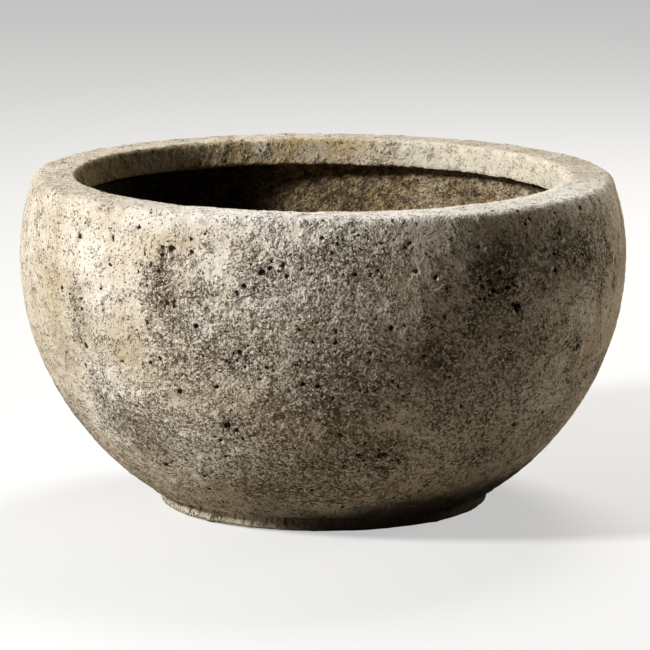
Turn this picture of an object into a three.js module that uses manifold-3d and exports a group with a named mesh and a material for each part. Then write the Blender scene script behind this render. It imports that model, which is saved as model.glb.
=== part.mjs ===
// Concrete bowl planter: a cast bowl with a return lip inside the rim and a low round foot,
// a plastic sleeve that lines the drain hole, a rubber plug that lifts out of it, and rubber
// pads that keep the foot off the ground. Millimetres, +Z up, origin on the ground under the axis.
import * as THREE from 'three';
import { mergeVertices } from 'three/addons/utils/BufferGeometryUtils.js';
import Module from 'manifold-3d';

const wasm = await Module();
wasm.setup();

// Outside of the bowl: two half ellipses that meet at the belly.
const bellyRadius = 304.5;
const bellyHeight = 253;
const crownRise = 260;        // vertical semi-axis of the ellipse above the belly
const hullDrop = 288;         // vertical semi-axis of the ellipse below the belly
const rimHeight = 334;

// Rim and return lip.
const mouthRadius = 242;
const lipDepth = 30;
const shoulderRounding = 10;  // outer edge of the rim
const mouthRounding = 5;      // inner edge of the rim
const lipRounding = 4;        // lower edge of the lip
const undercutRounding = 9;   // where the lip's underside runs into the wall

// Wall and floor.
const wall = 36;
const floorThickness = 36;
const floorRounding = 32;     // cove between the floor and the wall

// Foot: a low round plinth with a flat underside.
const footRadius = 166;
const footLedge = 17;         // height of the bowl's underside where the foot leaves it
const footRounding = 4.5;
const ledgeRounding = 3;      // lower edge of the bowl above the foot

// Rubber pads, let into the underside of the foot.
const padCount = 4;
const padRadius = 13;
const padInset = 20;          // from the foot's edge to a pad's centre
const padThickness = 4;
const padPocketDepth = 2.5;
const padRounding = 1;
const firstPadAngle = Math.PI / 4;

// Drain hole: the sleeve cast into the floor.
const drainBore = 13;         // radius of the water way
const sleeveWall = 2.5;
const sleeveFlangeWidth = 9;
const sleeveFlangeThickness = 2.5;
const sleeveBevel = 0.8;

// Rubber plug.
const plugTaper = 1.6;        // how much narrower the shank is at its foot
const plugShankLength = 24;
const plugRibCount = 3;
const plugRibHeight = 0.5;
const plugHeadWidth = 7;      // how far the head covers the sleeve's flange
const plugHeadThickness = 5;
const plugHeadCrown = 2;
const plugHeadEdge = 1.7;     // rounding of the head's rim
const tabWidth = 22;
const tabHeight = 17;
const tabThickness = 5;
const tabHoleRadius = 5;
const tabEdge = 0.8;

// Clearances.
const seatGap = 0.3;          // between pieces that touch on the real planter
const shankClearance = 0.35;  // between the plug's shank and the bore

// Facets: round the axis, along the walls, and on the rounded corners.
const bowlSegments = 72;
const hardwareSegments = 36;
const padSegments = 24;
const outsideSteps = 18;
const insideSteps = 11;
const cornerSteps = 4;
const smallCornerSteps = 3;

// Places that follow from the sizes.
const footBottom = padThickness - padPocketDepth - seatGap;
const floorTop = footBottom + floorThickness;
const lipBottom = rimHeight - lipDepth;
const sleeveRadius = drainBore + sleeveWall;
const sleeveHoleRadius = sleeveRadius + seatGap;
const flangeRadius = sleeveRadius + sleeveFlangeWidth;
const flangeSeatDepth = sleeveFlangeThickness + seatGap;
const padRingRadius = footRadius - padInset;

const concrete = new THREE.MeshStandardMaterial({ color: 0xb3a68e, roughness: 0.95, metalness: 0 });
const sleevePlastic = new THREE.MeshStandardMaterial({ color: 0x5c5e5d, roughness: 0.6, metalness: 0 });
const plugRubber = new THREE.MeshStandardMaterial({ color: 0x1d1c1b, roughness: 0.8, metalness: 0 });
const padRubber = new THREE.MeshStandardMaterial({ color: 0x242322, roughness: 0.85, metalness: 0 });

// One side of an ellipse-shaped wall, as a function of the height. The outside has inset 0, and the
// inside has the wall as its inset.
function wallAt(height, inset) {
  const halfWidth = bellyRadius - inset;
  const halfHeight = (height > bellyHeight ? crownRise : hullDrop) - inset;
  const rise = (height - bellyHeight) / halfHeight;
  const radius = halfWidth * Math.sqrt(Math.max(0, 1 - rise * rise));
  const normal = new THREE.Vector2(radius / halfWidth ** 2, (height - bellyHeight) / halfHeight ** 2);
  return { point: new THREE.Vector2(radius, height), normal: normal.normalize() };
}

// Where a ball of the given radius touches the wall from within when its centre is at a given height.
function touchOnWall(inset, ballRadius, centreHeight) {
  let low = centreHeight - ballRadius;
  let high = centreHeight + ballRadius;
  for (let step = 0; step < 40; step += 1) {
    const middle = (low + high) / 2;
    const { normal } = wallAt(middle, inset);
    if (middle - ballRadius * normal.y > centreHeight) high = middle;
    else low = middle;
  }
  const { point, normal } = wallAt((low + high) / 2, inset);
  return { point, centre: point.clone().addScaledVector(normal, -ballRadius), angle: normal.angle() };
}

// Points on a round corner, from one angle to another.
function corner(centre, radius, from, to, steps) {
  return Array.from({ length: steps + 1 }, (_, i) => {
    const angle = from + ((to - from) * i) / steps;
    return new THREE.Vector2(centre.x + radius * Math.cos(angle), centre.y + radius * Math.sin(angle));
  });
}

// Points along the wall between two heights, even in the ellipse's own angle.
function alongWall(from, to, inset, steps) {
  const halfHeight = (height) => (height > bellyHeight ? crownRise : hullDrop) - inset;
  const angleAt = (height) => Math.asin((height - bellyHeight) / halfHeight(height));
  const first = angleAt(from);
  const last = angleAt(to);
  return Array.from({ length: steps + 1 }, (_, i) => {
    const angle = first + ((last - first) * i) / steps;
    const semiAxis = (angle > 0 ? crownRise : hullDrop) - inset;
    const height = bellyHeight + semiAxis * Math.sin(angle);
    return wallAt(height, inset).point;
  });
}

function bowlProfile() {
  const right = 0;
  const up = Math.PI / 2;
  const left = Math.PI;
  const down = -Math.PI / 2;
  const at = (radius, height) => new THREE.Vector2(radius, height);

  const ledge = wallAt(footLedge + ledgeRounding, 0).point;
  const shoulder = touchOnWall(0, shoulderRounding, rimHeight - shoulderRounding);
  const undercut = touchOnWall(wall, undercutRounding, lipBottom - undercutRounding);
  const cove = touchOnWall(wall, floorRounding, floorTop + floorRounding);

  return [
    at(sleeveHoleRadius, footBottom),
    ...corner(
      at(footRadius - footRounding, footBottom + footRounding), footRounding, down, right, cornerSteps,
    ),
    at(footRadius, footLedge),
    at(ledge.x - ledgeRounding, footLedge),
    ...alongWall(footLedge + ledgeRounding, shoulder.point.y, 0, outsideSteps),
    ...corner(shoulder.centre, shoulderRounding, shoulder.angle, up, cornerSteps + 1).slice(1),
    ...corner(
      at(mouthRadius + mouthRounding, rimHeight - mouthRounding), mouthRounding, up, left, cornerSteps,
    ),
    ...corner(
      at(mouthRadius + lipRounding, lipBottom + lipRounding), lipRounding, left, left + up, smallCornerSteps,
    ),
    ...corner(undercut.centre, undercutRounding, up, undercut.angle, smallCornerSteps),
    ...alongWall(undercut.point.y, cove.point.y, wall, insideSteps).slice(1),
    ...corner(cove.centre, floorRounding, cove.angle - 2 * Math.PI, down, cornerSteps).slice(1),
    at(flangeRadius + seatGap, floorTop),
    at(flangeRadius + seatGap, floorTop - flangeSeatDepth),
    at(sleeveHoleRadius, floorTop - flangeSeatDepth),
    at(sleeveHoleRadius, footBottom),
  ];
}

function revolved(profile, segments) {
  return new THREE.LatheGeometry(profile, segments).rotateX(Math.PI / 2);
}

// A closed geometry as a solid that can be cut and joined, and back.
function toSolid(geometry) {
  const bare = new THREE.BufferGeometry();
  bare.setAttribute('position', geometry.getAttribute('position'));
  if (geometry.index) bare.setIndex(geometry.index);
  const merged = mergeVertices(bare, 1e-4);
  return new wasm.Manifold(new wasm.Mesh({
    numProp: 3,
    vertProperties: merged.getAttribute('position').array,
    triVerts: new Uint32Array(merged.index.array),
  }));
}

function toGeometry(solid) {
  const mesh = solid.getMesh();
  const geometry = new THREE.BufferGeometry();
  geometry.setAttribute('position', new THREE.BufferAttribute(mesh.vertProperties, 3));
  geometry.setIndex(new THREE.BufferAttribute(mesh.triVerts, 1));
  geometry.computeVertexNormals();
  return geometry;
}

function padPlaces() {
  return Array.from({ length: padCount }, (_, i) => {
    const angle = firstPadAngle + (i * 2 * Math.PI) / padCount;
    return new THREE.Vector2(padRingRadius * Math.cos(angle), padRingRadius * Math.sin(angle));
  });
}

// The casting: bowl, rim, return lip and foot in one pour, with a pocket for each pad.
function bowlShell() {
  let shell = toSolid(revolved(bowlProfile(), bowlSegments));
  const pocket = new THREE.CylinderGeometry(
    padRadius + seatGap, padRadius + seatGap, 2 * (padPocketDepth + seatGap), padSegments,
  ).rotateX(Math.PI / 2);
  for (const place of padPlaces()) {
    shell = shell.subtract(toSolid(pocket.clone().translate(place.x, place.y, footBottom)));
  }
  return toGeometry(shell);
}

// The sleeve: a short plastic pipe through the floor, with a flange that lies flush in it.
function drainSleeve() {
  const top = floorTop;
  const flangeUnderside = top - sleeveFlangeThickness;
  const bottom = footBottom;
  return revolved([
    new THREE.Vector2(drainBore, bottom),
    new THREE.Vector2(sleeveRadius - sleeveBevel, bottom),
    new THREE.Vector2(sleeveRadius, bottom + sleeveBevel),
    new THREE.Vector2(sleeveRadius, flangeUnderside),
    new THREE.Vector2(flangeRadius, flangeUnderside),
    new THREE.Vector2(flangeRadius, top - sleeveBevel),
    new THREE.Vector2(flangeRadius - sleeveBevel, top),
    new THREE.Vector2(drainBore + sleeveBevel, top),
    new THREE.Vector2(drainBore, top - sleeveBevel),
    new THREE.Vector2(drainBore, bottom),
  ], hardwareSegments);
}

// The plug: a ribbed, tapered shank under a crowned head, with a tab to pull it by.
function drainPlug() {
  const underHead = floorTop + seatGap;
  const shankTop = drainBore - shankClearance - plugRibHeight;
  const shankFoot = shankTop - plugTaper;
  const headRadius = drainBore + plugHeadWidth;
  const headTop = underHead + plugHeadThickness;
  const ribPitch = plugShankLength / (plugRibCount + 1);
  const radiusAt = (depth) => shankTop + ((shankFoot - shankTop) * depth) / plugShankLength;
  const profile = [new THREE.Vector2(0, underHead - plugShankLength)];
  profile.push(new THREE.Vector2(shankFoot - 2 * plugRibHeight, underHead - plugShankLength));
  for (let rib = plugRibCount; rib > 0; rib -= 1) {
    const depth = rib * ribPitch;
    const halfRib = ribPitch / 5;
    profile.push(new THREE.Vector2(radiusAt(depth + halfRib), underHead - depth - halfRib));
    profile.push(new THREE.Vector2(radiusAt(depth) + plugRibHeight, underHead - depth));
    profile.push(new THREE.Vector2(radiusAt(depth - halfRib), underHead - depth + halfRib));
  }
  profile.push(new THREE.Vector2(shankTop, underHead));
  profile.push(new THREE.Vector2(headRadius, underHead));
  const headEdge = { x: headRadius - plugHeadEdge, y: headTop - plugHeadCrown - plugHeadEdge };
  profile.push(...corner(headEdge, plugHeadEdge, 0, Math.PI / 2, smallCornerSteps));
  profile.push(new THREE.Vector2(headRadius / 2, headTop - plugHeadCrown / 4));
  profile.push(new THREE.Vector2(0, headTop));
  const stopper = toSolid(revolved(profile, hardwareSegments));
  return toGeometry(stopper.add(toSolid(pullTab(headTop))));
}

// The tab stands on the head: upright sides, a half round top and a finger hole.
function pullTab(headTop) {
  const root = plugHeadCrown + tabEdge;
  const half = tabWidth / 2 - tabEdge;
  const shoulder = tabHeight - tabWidth / 2;
  const outline = new THREE.Shape();
  outline.moveTo(-half, -root);
  outline.lineTo(half, -root);
  outline.lineTo(half, shoulder);
  outline.absarc(0, shoulder, half, 0, Math.PI, false);
  outline.closePath();
  const hole = new THREE.Path();
  hole.absarc(0, shoulder, tabHoleRadius + tabEdge, 0, 2 * Math.PI, true);
  outline.holes.push(hole);
  return new THREE.ExtrudeGeometry(outline, {
    depth: tabThickness - 2 * tabEdge,
    bevelEnabled: true,
    bevelThickness: tabEdge,
    bevelSize: tabEdge,
    bevelSegments: 1,
    curveSegments: 8,
  }).translate(0, 0, tabEdge - tabThickness / 2).rotateX(Math.PI / 2).translate(0, 0, headTop);
}

// A pad: a rubber disc with a rounded lower edge.
function footPad() {
  return revolved([
    new THREE.Vector2(0, 0),
    ...corner(
      { x: padRadius - padRounding, y: padRounding }, padRounding, -Math.PI / 2, 0, smallCornerSteps,
    ),
    new THREE.Vector2(padRadius, padThickness),
    new THREE.Vector2(0, padThickness),
  ], padSegments);
}

const planter = new THREE.Group();

function add(name, geometry, material, x = 0, y = 0) {
  const mesh = new THREE.Mesh(geometry, material);
  mesh.name = name;
  mesh.position.set(x, y, 0);
  planter.add(mesh);
}

add('bowl_shell', bowlShell(), concrete);
add('drain_sleeve', drainSleeve(), sleevePlastic);
add('drain_plug', drainPlug(), plugRubber);
padPlaces().forEach((place, i) => add(`foot_pad_${i + 1}`, footPad(), padRubber, place.x, place.y));

export default planter;
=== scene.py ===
# %% [markdown]
# # A cast concrete bowl planter
# The real planter is one heavy casting of grey-cream concrete: a round bowl with a flat rim, a
# return lip that hangs down inside the mouth, and a low foot. A plastic sleeve lines its drain
# hole, a rubber plug closes it, and four rubber pads stand under the foot. The packed model gives
# the size and the place of every piece, and this lesson dresses it. It casts the bowl again with a
# rough, pitted surface, turns the small fittings with round edges, and gives each its own finish.

# %% Load the packed model as the frame
import math
from functools import reduce
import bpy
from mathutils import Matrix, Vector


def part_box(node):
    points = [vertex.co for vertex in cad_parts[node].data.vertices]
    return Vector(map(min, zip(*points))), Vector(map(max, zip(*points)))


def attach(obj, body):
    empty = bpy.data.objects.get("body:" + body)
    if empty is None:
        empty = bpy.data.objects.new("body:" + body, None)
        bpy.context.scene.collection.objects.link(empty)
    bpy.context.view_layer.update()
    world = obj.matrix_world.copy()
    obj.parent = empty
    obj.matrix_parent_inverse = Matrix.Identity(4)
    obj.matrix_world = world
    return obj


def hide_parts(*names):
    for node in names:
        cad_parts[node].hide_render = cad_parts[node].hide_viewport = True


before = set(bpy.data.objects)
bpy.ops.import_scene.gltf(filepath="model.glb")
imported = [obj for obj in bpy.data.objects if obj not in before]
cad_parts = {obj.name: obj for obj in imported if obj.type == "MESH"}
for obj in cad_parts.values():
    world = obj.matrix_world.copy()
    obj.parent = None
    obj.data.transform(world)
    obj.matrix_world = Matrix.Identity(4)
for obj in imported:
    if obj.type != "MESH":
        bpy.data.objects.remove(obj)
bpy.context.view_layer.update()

from types import SimpleNamespace

import bpy
import numpy as np
from mathutils import Vector

MILLIMETRE = 0.001

# %% [markdown]
# ## The camera
# The photograph looks slightly down on the rim from far away: the left and right ends of the rim
# are almost as high as its front, so the lens is long. The distance, the rise and the aim below
# were fitted to the outline of the bowl, and a camera's lens follows from the pixels that one
# radian takes up in a picture 650 pixels wide.

# %% A long lens, a little above the rim
CAMERA_DISTANCE = 5.0
CAMERA_RISE = 0.179
LOOK_HEIGHT = 177.4 * MILLIMETRE
LOOK_ASIDE = 1.7 * MILLIMETRE
PIXELS_PER_RADIAN = 4980.0
FRAME_PIXELS = 650.0
SENSOR_WIDTH = 36.0

camera_data = bpy.data.cameras.new("camera")
camera = bpy.data.objects.new("camera", camera_data)
bpy.context.scene.collection.objects.link(camera)
camera_data.sensor_width = SENSOR_WIDTH
camera_data.lens = PIXELS_PER_RADIAN * SENSOR_WIDTH / FRAME_PIXELS
camera_data.clip_end = 100.0
camera.location = (LOOK_ASIDE, -CAMERA_DISTANCE * math.cos(CAMERA_RISE),
                   LOOK_HEIGHT + CAMERA_DISTANCE * math.sin(CAMERA_RISE))
camera.rotation_euler = (math.pi / 2 - CAMERA_RISE, 0.0, 0.0)
bpy.context.scene.camera = camera
print("lens:", round(camera_data.lens, 1), "mm, camera at", [round(v, 2) for v in camera.location])

# %% [markdown]
# ## Writing node trees as sums
# Every finish below is a formula over the surface, such as `1 - mask` or `height * 0.4`. Placing
# dozens of Math nodes by hand hides that formula, so one small class wraps a socket and lets
# Python's own operators add the nodes. The same class serves shader trees and Geometry Nodes
# trees, so one function can dent the mesh and also darken the bottom of the same dent.

# %% A socket that can be written with
def operator(operation):
    """The two methods of one operator: as in mask * 2, and reflected, as in 2 * mask."""
    def forward(field, other):
        return field.graph.maths(operation, field, other)

    def reflected(field, other):
        return field.graph.maths(operation, other, field)

    return forward, reflected


class Field:
    """A socket that Python's operators work on. Each operation adds one node."""

    __add__, __radd__ = operator("ADD")
    __sub__, __rsub__ = operator("SUBTRACT")
    __mul__, __rmul__ = operator("MULTIPLY")
    __truediv__, __rtruediv__ = operator("DIVIDE")
    __lt__, __gt__ = operator("LESS_THAN")
    largest = operator("MAXIMUM")[0]
    smallest = operator("MINIMUM")[0]
    dot = operator("DOT_PRODUCT")[0]

    def __init__(self, graph, socket):
        self.graph = graph
        self.socket = socket

    @property
    def is_number(self):
        return self.socket.type == "VALUE"

    @property
    def parts(self):
        """The three numbers of a vector or a colour."""
        node = self.graph.node("ShaderNodeSeparateXYZ", {}, {"Vector": self})
        return [self.graph.out(node, name) for name in "XYZ"]

    @property
    def length(self):
        node = self.graph.node("ShaderNodeVectorMath", {"operation": "LENGTH"}, {0: self})
        return self.graph.out(node, "Value")


print("operators:", ", ".join(name for name in vars(Field) if name.startswith("__r")))

# %% A tree that formulas are written into
class Graph:
    """A node tree. node() makes any node, and the other methods name the ones used most."""

    def __init__(self, tree):
        self.tree = tree
        self.tree.nodes.clear()

    def node(self, kind, settings, sockets):
        """Adds a node: its settings first, then the value or the link of each socket."""
        node = self.tree.nodes.new(kind)
        for name, value in settings.items():
            setattr(node, name, value)
        for name, value in sockets.items():
            self.feed(self.find(node.inputs, name), value)
        return node

    @staticmethod
    def find(sockets, name):
        if isinstance(name, int):
            return sockets[name]
        return next(socket for socket in sockets if name in (socket.identifier, socket.name))

    def feed(self, socket, value):
        """Gives a socket a constant, a formula, or the first output of a node."""
        if isinstance(value, bpy.types.Node):
            value = self.out(value)
        if isinstance(value, Field):
            self.tree.links.new(value.socket, socket)
        else:
            socket.default_value = value

    def out(self, node, name=0):
        return Field(self, self.find(node.outputs, name))

    def maths(self, operation, first, second):
        """A Math node for two numbers, a Vector Math node where one of them is a vector."""
        numbers = [isinstance(v, (int, float)) or (isinstance(v, Field) and v.is_number)
                   for v in (first, second)]
        if all(numbers):
            return self.out(self.node("ShaderNodeMath", {"operation": operation}, {0: first, 1: second}))
        if operation == "MULTIPLY" and any(numbers):
            vector, scale = (first, second) if numbers[1] else (second, first)
            sockets = {0: vector, "Scale": scale}
            return self.out(self.node("ShaderNodeVectorMath", {"operation": "SCALE"}, sockets))
        node = self.node("ShaderNodeVectorMath", {"operation": operation}, {0: first, 1: second})
        return self.out(node, "Value" if operation == "DOT_PRODUCT" else "Vector")

    def vector(self, x, y, z):
        return self.out(self.node("ShaderNodeCombineXYZ", {}, {"X": x, "Y": y, "Z": z}))

    def smooth(self, start, end, value):
        """0 up to start, 1 from end on, and a soft step between."""
        return self.out(self.node("ShaderNodeMapRange", {"interpolation_type": "SMOOTHSTEP"},
                                  {"Value": value, "From Min": start, "From Max": end}))

    def noise(self, place, size, detail=2.0, roughness=0.5, output=0):
        """Cloudy noise from 0 to 1, or in three parts, whose blobs are about size across."""
        node = self.node("ShaderNodeTexNoise", {"noise_dimensions": "3D"},
                         {"Vector": place, "Scale": 1.0 / size, "Detail": detail, "Roughness": roughness})
        return self.out(node, output)

    def cells(self, place, size):
        """A pattern of cells about size across: the distance from a cell's middle, its three numbers."""
        node = self.node("ShaderNodeTexVoronoi", {"voronoi_dimensions": "3D", "feature": "F1"},
                         {"Vector": place, "Scale": 1.0 / size})
        return self.out(node, "Distance"), self.out(node, "Color").parts

    def ragged(self, place, size, amount):
        """The place, pushed about a little, so that round marks get uneven outlines."""
        return place + (self.noise(place, size, output="Color") - (0.5, 0.5, 0.5)) * amount

    def mix(self, amount, first, second):
        """The first colour where amount is 0, and the second where it is 1."""
        node = self.node("ShaderNodeMix", {"data_type": "RGBA"},
                         {"Factor_Float": amount, "A_Color": first, "B_Color": second})
        return self.out(node, "Result_Color")

    def raised(self, relief):
        """The normals of a surface with a relief, in metres."""
        return self.node("ShaderNodeBump", {}, {"Strength": 1.0, "Distance": 1.0, "Height": relief})

    def on_object(self):
        """The place in the object's own coordinates, for a material."""
        return self.out(self.node("ShaderNodeTexCoord", {}, {}), "Object")

    def surface(self, sockets):
        """Ends a material's tree in one shader."""
        shader = self.node("ShaderNodeBsdfPrincipled", {}, sockets)
        self.node("ShaderNodeOutputMaterial", {}, {"Surface": shader})


print("node maths ready")

# %% [markdown]
# ## The section of the casting
# The bowl is a solid of revolution, so its shape is one closed section. Outside it is two half
# ellipses that meet at the belly, with rounded corners at the rim, the lip and the foot. The
# section's points are close together where the photograph looks, and wide apart inside.

# %% Driving sizes of the casting
BELLY_RADIUS = 304.0 * MILLIMETRE
BELLY_HEIGHT = 253.0 * MILLIMETRE
CROWN_RISE = 260.0 * MILLIMETRE
HULL_DROP = 288.0 * MILLIMETRE
RIM_HEIGHT = 333.6 * MILLIMETRE
MOUTH_RADIUS = 242.0 * MILLIMETRE
LIP_DEPTH = 29.6 * MILLIMETRE
WALL = 36.0 * MILLIMETRE
FLOOR_COVE = 32.0 * MILLIMETRE
SHOULDER_ROUNDING = 10.0 * MILLIMETRE
MOUTH_ROUNDING = 5.0 * MILLIMETRE
LIP_ROUNDING = 4.0 * MILLIMETRE
UNDERCUT_ROUNDING = 9.0 * MILLIMETRE
FOOT_RADIUS = 165.6 * MILLIMETRE
FOOT_LEDGE = 17.0 * MILLIMETRE
FOOT_ROUNDING = 4.5 * MILLIMETRE
LEDGE_ROUNDING = 3.0 * MILLIMETRE
FLANGE_WIDTH = 9.0 * MILLIMETRE
FLANGE_THICKNESS = 2.5 * MILLIMETRE
SEAT_GAP = 0.3 * MILLIMETRE

foot_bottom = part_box("bowl_shell")[0].z
floor_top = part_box("drain_sleeve")[1].z
flange_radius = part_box("drain_sleeve")[1].x
lip_bottom = RIM_HEIGHT - LIP_DEPTH
print("floor and lip at", [round(height / MILLIMETRE, 1) for height in (floor_top, lip_bottom)], "mm")


# %% The wall's curve, and round corners that touch it
HALVINGS = 40
WALL_SAMPLES = 400


def wall_at(height, inset):
    """The radius of the wall at a height, and the direction that the wall faces there."""
    half_width = BELLY_RADIUS - inset
    half_height = (CROWN_RISE if height > BELLY_HEIGHT else HULL_DROP) - inset
    rise = (height - BELLY_HEIGHT) / half_height
    radius = half_width * math.sqrt(max(0.0, 1.0 - rise * rise))
    facing = np.array([radius / half_width ** 2, (height - BELLY_HEIGHT) / half_height ** 2])
    return radius, facing / np.linalg.norm(facing)


def ball_in_wall(inset, ball_radius, centre_height):
    """Where a ball that rolls inside the wall touches it, and where the ball's centre is."""
    low, high = centre_height - ball_radius, centre_height + ball_radius
    for _ in range(HALVINGS):
        middle = (low + high) / 2
        if middle - ball_radius * wall_at(middle, inset)[1][1] > centre_height:
            high = middle
        else:
            low = middle
    radius, facing = wall_at(middle, inset)
    centre = np.array([radius, middle]) - ball_radius * facing
    return middle, centre, math.atan2(facing[1], facing[0])


def arc(centre, radius, start, end, spacing):
    """Points round a corner."""
    steps = max(3, math.ceil(abs(end - start) * radius / spacing))
    return [(centre[0] + radius * math.cos(a), centre[1] + radius * math.sin(a))
            for a in np.linspace(start, end, steps + 1)]


def along_wall(start, end, inset, spacing):
    """Points along the wall from one height to another, evenly spaced along its curve."""
    heights = np.linspace(start, end, WALL_SAMPLES)
    curve = np.array([(wall_at(height, inset)[0], height) for height in heights])
    reach = np.concatenate([[0.0], np.cumsum(np.linalg.norm(np.diff(curve, axis=0), axis=1))])
    places = np.linspace(0.0, reach[-1], math.ceil(reach[-1] / spacing) + 1)
    return [(np.interp(p, reach, curve[:, 0]), np.interp(p, reach, curve[:, 1])) for p in places]


def straight(start, end, spacing):
    """Points along a straight stretch."""
    steps = max(1, math.ceil(math.dist(start, end) / spacing))
    return [tuple(point) for point in np.linspace(start, end, steps + 1)]


print("the belly is", round(2 * wall_at(BELLY_HEIGHT, 0.0)[0] / MILLIMETRE), "mm across")

# %% The closed section
FINE = 1.7 * MILLIMETRE
COARSE = 4.5 * MILLIMETRE
SAME_POINT = 0.2 * MILLIMETRE


def casting_section():
    """The outline of the concrete on one side of the axis, as (radius, height) points."""
    right, up, left, down = 0.0, math.pi / 2, math.pi, -math.pi / 2
    hole_radius = flange_radius - FLANGE_WIDTH + SEAT_GAP
    seat_radius = flange_radius + SEAT_GAP
    seat_height = floor_top - FLANGE_THICKNESS - SEAT_GAP
    ledge = (wall_at(FOOT_LEDGE + LEDGE_ROUNDING, 0.0)[0], FOOT_LEDGE + LEDGE_ROUNDING)
    shoulder_height, shoulder, shoulder_angle = ball_in_wall(
        0.0, SHOULDER_ROUNDING, RIM_HEIGHT - SHOULDER_ROUNDING)
    undercut_height, undercut, undercut_angle = ball_in_wall(
        WALL, UNDERCUT_ROUNDING, lip_bottom - UNDERCUT_ROUNDING)
    cove_height, cove, cove_angle = ball_in_wall(WALL, FLOOR_COVE, floor_top + FLOOR_COVE)
    mouth = (MOUTH_RADIUS + MOUTH_ROUNDING, RIM_HEIGHT - MOUTH_ROUNDING)
    lip = (MOUTH_RADIUS + LIP_ROUNDING, lip_bottom + LIP_ROUNDING)
    foot_edge = (FOOT_RADIUS - FOOT_ROUNDING, foot_bottom + FOOT_ROUNDING)
    stretches = [
        straight((hole_radius, foot_bottom), (foot_edge[0], foot_bottom), COARSE),
        arc(foot_edge, FOOT_ROUNDING, down, right, FINE),
        straight((FOOT_RADIUS, foot_edge[1]), (FOOT_RADIUS, FOOT_LEDGE), FINE),
        straight((FOOT_RADIUS, FOOT_LEDGE), (ledge[0] - LEDGE_ROUNDING, FOOT_LEDGE), FINE),
        along_wall(ledge[1], shoulder_height, 0.0, FINE),
        arc(shoulder, SHOULDER_ROUNDING, shoulder_angle, up, FINE),
        straight((shoulder[0], RIM_HEIGHT), (mouth[0], RIM_HEIGHT), FINE),
        arc(mouth, MOUTH_ROUNDING, up, left, FINE),
        straight((MOUTH_RADIUS, mouth[1]), (MOUTH_RADIUS, lip[1]), FINE),
        arc(lip, LIP_ROUNDING, left, left + up, FINE),
        straight((lip[0], lip_bottom), (undercut[0], lip_bottom), FINE),
        arc(undercut, UNDERCUT_ROUNDING, up, undercut_angle, FINE),
        along_wall(undercut_height, cove_height, WALL, COARSE),
        arc(cove, FLOOR_COVE, cove_angle, down, COARSE),
        straight((cove[0], floor_top), (seat_radius, floor_top), COARSE),
        straight((seat_radius, floor_top), (seat_radius, seat_height), COARSE),
        straight((seat_radius, seat_height), (hole_radius, seat_height), COARSE),
        straight((hole_radius, seat_height), (hole_radius, foot_bottom), COARSE),
    ]
    points = []
    for point in (point for stretch in stretches for point in stretch):
        if not points or math.dist(point, points[-1]) > SAME_POINT:
            points.append(point)
    return points[:-1] if math.dist(points[0], points[-1]) < SAME_POINT else points


section = casting_section()
print(len(section), "points in the section")

# %% [markdown]
# ## Closed meshes
# Every piece here is a closed skin with its faces outwards, as a real piece is. Round pieces are
# profiles turned on a lathe. Cast and moulded edges are never sharp, so the corners of a profile
# are rounded with arcs before it is turned.

# %% Objects, volumes and finished modifiers
LITRE = 0.001


def signed_volume(mesh):
    """The volume inside a closed mesh, in litres: positive when its faces point outwards."""
    mesh.calc_loop_triangles()
    corners = np.empty(len(mesh.vertices) * 3)
    mesh.vertices.foreach_get("co", corners)
    triangles = np.empty(len(mesh.loop_triangles) * 3, dtype=np.int32)
    mesh.loop_triangles.foreach_get("vertices", triangles)
    a, b, c = corners.reshape(-1, 3)[triangles.reshape(-1, 3)].transpose(1, 0, 2)
    return float(np.einsum("ij,ij->i", a, np.cross(b, c)).sum() / 6 / LITRE)


def new_object(name, data):
    """An object in the scene that holds a mesh."""
    made = bpy.data.objects.new(name, data)
    bpy.context.scene.collection.objects.link(made)
    return made


def finished(source, name):
    """The result of an object's modifiers as a plain mesh object at the origin."""
    graph = bpy.context.evaluated_depsgraph_get()
    mesh = bpy.data.meshes.new_from_object(source.evaluated_get(graph))
    mesh.name = name
    for attribute in ("in_section", "in_circle"):
        if attribute in mesh.attributes:
            mesh.attributes.remove(mesh.attributes[attribute])
    bpy.data.objects.remove(source)
    return new_object(name, mesh)


def set_input(modifier, name, value):
    """Sets a node modifier's input by its identifier, from its name."""
    items = modifier.node_group.interface.items_tree
    modifier[next(item.identifier for item in items if item.name == name)] = value


def cut_or_join(target, other, operation):
    """Adds a boolean with another closed mesh to an object."""
    boolean = target.modifiers.new(other.name, "BOOLEAN")
    boolean.operation = operation
    boolean.solver = "MANIFOLD"
    boolean.object = other


print("mesh helpers ready")

# %% Closed skins, rounded profiles and a lathe
LATHE_STEPS = 96
NEARLY_STRAIGHT = 1.55


def skinned(name, rings):
    """A closed mesh over rings of points: each is joined to the next, and the last to the first."""
    starts = np.cumsum([0] + [len(ring) for ring in rings])
    steps = max(len(ring) for ring in rings)
    faces = []
    for i, ring in enumerate(rings):
        after = (i + 1) % len(rings)
        for step in range(steps):
            here = [starts[i] + (step + more) % len(ring) for more in (0, 1)]
            there = [starts[after] + (step + more) % len(rings[after]) for more in (1, 0)]
            corners = list(dict.fromkeys(here + there))
            if len(corners) > 2:
                faces.append(corners)
    mesh = bpy.data.meshes.new(name)
    mesh.from_pydata([point for ring in rings for point in ring], [], faces)
    mesh.shade_smooth()
    if signed_volume(mesh) < 0:
        mesh.flip_normals()
    return new_object(name, mesh)


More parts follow.
